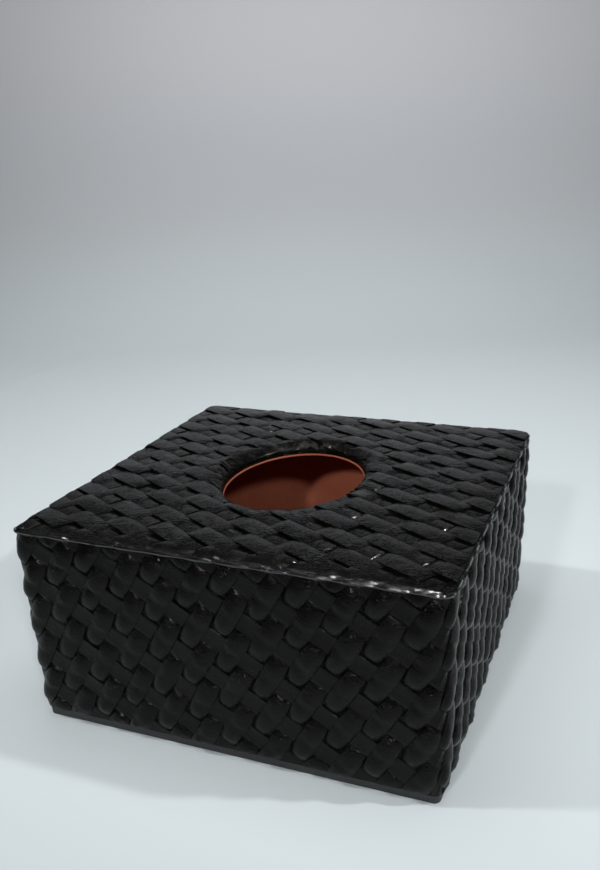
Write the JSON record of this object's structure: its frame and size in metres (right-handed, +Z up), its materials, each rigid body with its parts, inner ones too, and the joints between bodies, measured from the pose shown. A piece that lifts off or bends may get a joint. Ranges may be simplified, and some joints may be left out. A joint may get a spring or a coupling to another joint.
{
  "type": "tissue box cover",
  "caption": "Low square tissue box cover in black woven leatherette, with an oval opening in the top and a reddish-brown lining, hinged at the back to a flat base for refilling.",
  "frame": {"origin": "middle of the underside, on the surface that the cover stands on", "axes": "+Z up, -Y towards the front, +X to the right as seen from the front; the hinge is along the back, at +Y"},
  "size_m": [0.1524, 0.1524, 0.0762],
  "materials": {
    "board": "raw fibreboard",
    "woven_leatherette": "satin, fine pebble grain",
    "lining": "matt",
    "tape": "satin",
    "plain_leatherette": "satin",
    "magnet": "nickel plated",
    "disc": "brushed"
  },
  "bodies": {
    "base": {"base_board": "board", "base_cover": "plain_leatherette", "base_lining": "lining", "catch_discs": "disc", "hinge_tape_base_leaf": "tape"},
    "cover": {"top_board": "board", "front_board": "board", "back_board": "board", "left_board": "board", "right_board": "board", "top_cover": "woven_leatherette", "side_wrap": "woven_leatherette", "top_lining": "lining", "front_lining": "lining", "back_lining": "lining", "left_lining": "lining", "right_lining": "lining", "hinge_tape_wall_leaf": "tape", "corner_blocks": "board", "magnets": "magnet"}
  },
  "joints": [
    {"name": "cover_tip", "type": "hinge", "parent": "base", "child": "cover", "pos_m": [0, 0.0738, 0.003], "axis": [-1, 0, 0], "range_deg": [0, 90]}
  ]
}
